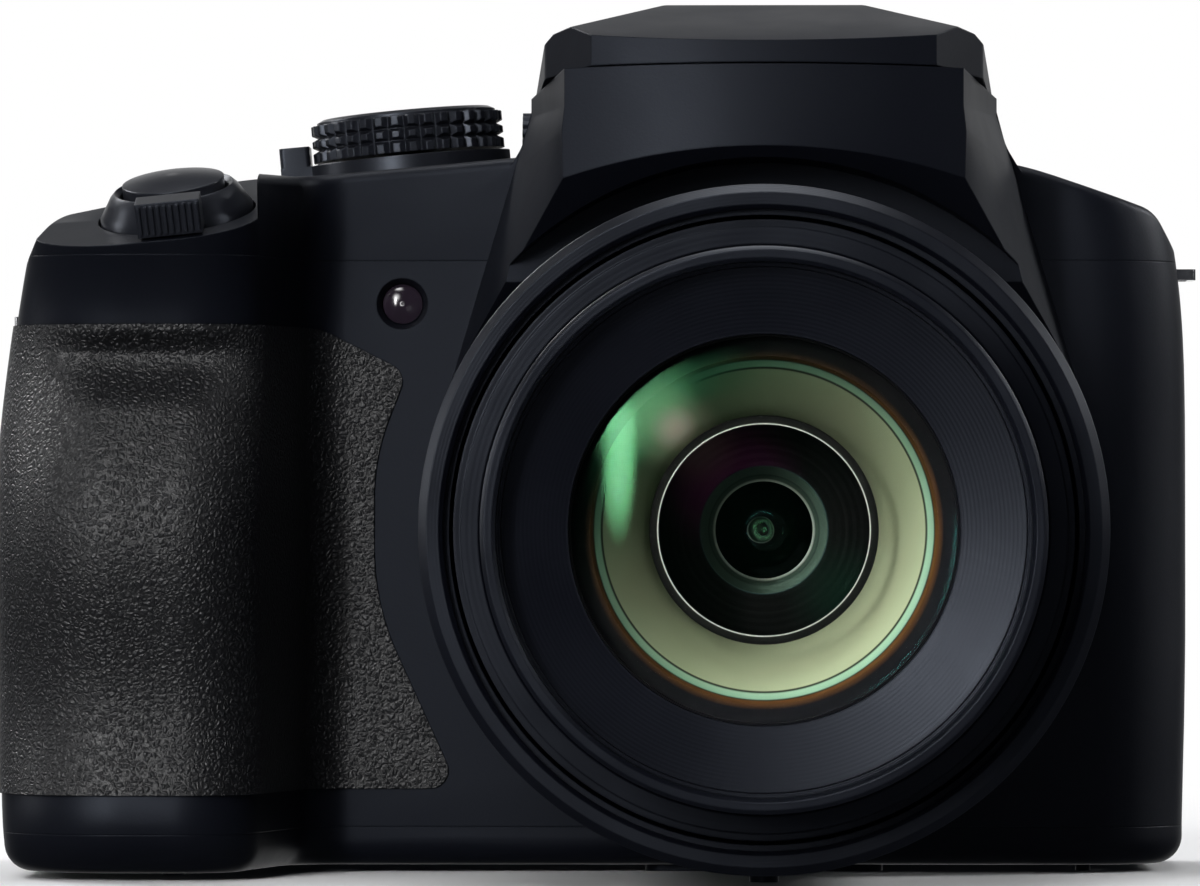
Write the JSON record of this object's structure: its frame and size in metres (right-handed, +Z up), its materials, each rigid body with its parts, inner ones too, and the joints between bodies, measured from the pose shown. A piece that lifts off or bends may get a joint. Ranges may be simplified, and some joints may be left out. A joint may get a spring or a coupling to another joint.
{
  "type": "bridge camera",
  "caption": "Bridge camera with a moulded grip, a telescoping zoom lens, a pop-up flash over the viewfinder hump and turning, pressing and sliding controls.",
  "frame": {"origin": "centre of the tripod socket's mouth, on the camera's rest plane", "axes": "+Z up; -Y forward along the lens axis, towards the subject; +X to the viewer's left, away from the grip"},
  "size_m": [0.1307, 0.1192, 0.0943],
  "materials": {
    "body_plastic": "fine matte",
    "skin_rubber": "leather grain",
    "lens_black": "satin black",
    "ring_black": "black anodised, machined rings",
    "dial_black": "satin black, knurled",
    "optical_glass": "coated",
    "baffle_black": "flat black",
    "chrome": "polished",
    "steel": "brushed",
    "board_green": "satin",
    "battery_grey": "matte",
    "card_blue": "matte",
    "contact_brass": "polished",
    "display_gloss": "gloss",
    "reflector": "bright",
    "window_clear": "ribbed",
    "eyecup_rubber": "matte",
    "sensor_dark": "gloss"
  },
  "bodies": {
    "camera_body": {"front_cover": "body_plastic", "rear_cover": "body_plastic", "top_cover": "body_plastic", "bottom_cover": "body_plastic", "grip_skin": "skin_rubber", "thumb_rest": "skin_rubber", "lens_housing": "body_plastic", "lens_trim_ring": "lens_black", "guide_rods": "steel", "rear_lens": "optical_glass", "image_sensor": "sensor_dark", "sensor_bracket": "steel", "chassis": "steel", "main_board": "board_green", "battery": "battery_grey", "memory_card": "card_blue", "battery_tray": "baffle_black", "battery_door_pin": "steel", "monitor_glass": "display_gloss", "monitor_panel": "display_gloss", "flash_hinge_pin": "steel", "eyecup": "eyecup_rubber", "eyepiece_lens": "optical_glass", "viewfinder_display": "display_gloss", "terminal_sockets": "steel", "strap_lugs": "chrome", "assist_lamp": "window_clear", "tripod_socket": "contact_brass", "base_pips": "body_plastic", "base_screws": "steel"},
    "middle_tube": {"middle_barrel": "ring_black"},
    "front_tube": {"front_barrel": "ring_black", "name_ring": "lens_black", "front_lens": "optical_glass", "front_lens_cell": "baffle_black"},
    "zoom_group": {"zoom_lens_cell": "baffle_black", "zoom_lens": "optical_glass", "iris_unit": "baffle_black"},
    "zoom_ring": {"zoom_lever": "dial_black"},
    "shutter": {"shutter_button": "dial_black"},
    "mode_knob": {"mode_dial": "dial_black"},
    "power_ring": {"power_lever": "dial_black"},
    "rear_wheel": {"rear_dial": "dial_black"},
    "set_key": {"set_button": "body_plastic"},
    "pad_key": {"cursor_pad": "body_plastic"},
    "viewfinder_key": {"viewfinder_button": "body_plastic"},
    "lock_key": {"lock_button": "body_plastic"},
    "playback_key": {"playback_button": "body_plastic"},
    "quick_menu_key": {"quick_menu_button": "body_plastic"},
    "display_key": {"display_button": "body_plastic"},
    "movie_key": {"movie_button": "body_plastic"},
    "flash_unit": {"flash_housing": "body_plastic", "flash_reflector": "reflector", "flash_tube": "window_clear", "flash_window": "window_clear"},
    "flash_slider": {"flash_switch": "body_plastic"},
    "diopter_wheel": {"diopter_dial": "body_plastic"},
    "battery_hatch": {"battery_door": "body_plastic"},
    "hatch_latch": {"battery_door_latch": "body_plastic"},
    "side_hatch": {"terminal_door": "body_plastic"}
  },
  "joints": [
    {"name": "middle_tube_slide", "type": "slide", "parent": "camera_body", "child": "middle_tube", "axis": [0, -1, 0], "range_m": [0, 0.026]},
    {"name": "front_tube_slide", "type": "slide", "parent": "middle_tube", "child": "front_tube", "axis": [0, -1, 0], "range_m": [0, 0.024]},
    {"name": "zoom_group_slide", "type": "slide", "parent": "camera_body", "child": "zoom_group", "axis": [0, -1, 0], "range_m": [0, 0.017]},
    {"name": "zoom_ring_turn", "type": "hinge", "parent": "camera_body", "child": "zoom_ring", "pos_m": [-0.0631, -0.028, 0.0714], "axis": [-0.1045, -0.2741, 0.956], "range_deg": [-25, 25], "stiffness_Nm_per_rad": 0.02},
    {"name": "shutter_press", "type": "slide", "parent": "camera_body", "child": "shutter", "axis": [0.1045, 0.2741, -0.956], "range_m": [0, 0.0012], "stiffness_N_per_m": 300, "springref_m": -0.0005},
    {"name": "mode_knob_turn", "type": "hinge", "parent": "camera_body", "child": "mode_knob", "pos_m": [-0.0393, 0.008, 0.07685], "axis": [-0.0906, 0, 0.9959], "continuous": true},
    {"name": "power_ring_turn", "type": "hinge", "parent": "camera_body", "child": "power_ring", "pos_m": [-0.0393, 0.008, 0.07685], "axis": [-0.0906, 0, 0.9959], "range_deg": [0, 25]},
    {"name": "rear_wheel_turn", "type": "hinge", "parent": "camera_body", "child": "rear_wheel", "pos_m": [-0.057, 0.022, 0.0644], "axis": [0, 0, 1], "continuous": true},
    {"name": "set_key_press", "type": "slide", "parent": "camera_body", "child": "set_key", "axis": [0, -1, 0], "range_m": [0, 0.0005], "stiffness_N_per_m": 300, "springref_m": -0.0005},
    {"name": "pad_key_press", "type": "slide", "parent": "camera_body", "child": "pad_key", "axis": [0, -1, 0], "range_m": [0, 0.0005], "stiffness_N_per_m": 300, "springref_m": -0.0005},
    {"name": "viewfinder_key_press", "type": "slide", "parent": "camera_body", "child": "viewfinder_key", "axis": [0, -1, 0], "range_m": [0, 0.0005], "stiffness_N_per_m": 300, "springref_m": -0.0005},
    {"name": "lock_key_press", "type": "slide", "parent": "camera_body", "child": "lock_key", "axis": [0, -1, 0], "range_m": [0, 0.0005], "stiffness_N_per_m": 300, "springref_m": -0.0005},
    {"name": "playback_key_press", "type": "slide", "parent": "camera_body", "child": "playback_key", "axis": [0, -1, 0], "range_m": [0, 0.0005], "stiffness_N_per_m": 300, "springref_m": -0.0005},
    {"name": "quick_menu_key_press", "type": "slide", "parent": "camera_body", "child": "quick_menu_key", "axis": [0, -1, 0], "range_m": [0, 0.0005], "stiffness_N_per_m": 300, "springref_m": -0.0005},
    {"name": "display_key_press", "type": "slide", "parent": "camera_body", "child": "display_key", "axis": [0, -1, 0], "range_m": [0, 0.0005], "stiffness_N_per_m": 300, "springref_m": -0.0005},
    {"name": "movie_key_press", "type": "slide", "parent": "camera_body", "child": "movie_key", "axis": [0, 0, -1], "range_m": [0, 0.0005], "stiffness_N_per_m": 300, "springref_m": -0.0005},
    {"name": "flash_unit_turn", "type": "hinge", "parent": "camera_body", "child": "flash_unit", "pos_m": [0, 0.006, 0.09], "axis": [-1, 0, 0], "range_deg": [0, 45]},
    {"name": "flash_slider_slide", "type": "slide", "parent": "camera_body", "child": "flash_slider", "axis": [0, 1, 0], "range_m": [0, 0.002], "stiffness_N_per_m": 300, "springref_m": -0.0005},
    {"name": "diopter_wheel_turn", "type": "hinge", "parent": "camera_body", "child": "diopter_wheel", "pos_m": [-0.0254, 0.02, 0.081], "axis": [1, 0, 0], "range_deg": [-120, 120]},
    {"name": "battery_hatch_turn", "type": "hinge", "parent": "camera_body", "child": "battery_hatch", "pos_m": [-0.0506, 0.004, 0.0022], "axis": [0, -1, 0], "range_deg": [0, 95]},
    {"name": "hatch_latch_slide", "type": "slide", "parent": "battery_hatch", "child": "hatch_latch", "axis": [-1, 0, 0], "range_m": [0, 0.002]},
    {"name": "side_hatch_turn", "type": "hinge", "parent": "camera_body", "child": "side_hatch", "pos_m": [0.04565, 0.00995, 0.034], "axis": [0, 0, -1], "range_deg": [0, 100]}
  ],
  "couplings": [
    {"joint": "front_tube_slide", "follows": "middle_tube_slide", "ratio": 0.923},
    {"joint": "zoom_group_slide", "follows": "middle_tube_slide", "ratio": 0.6538}
  ]
}
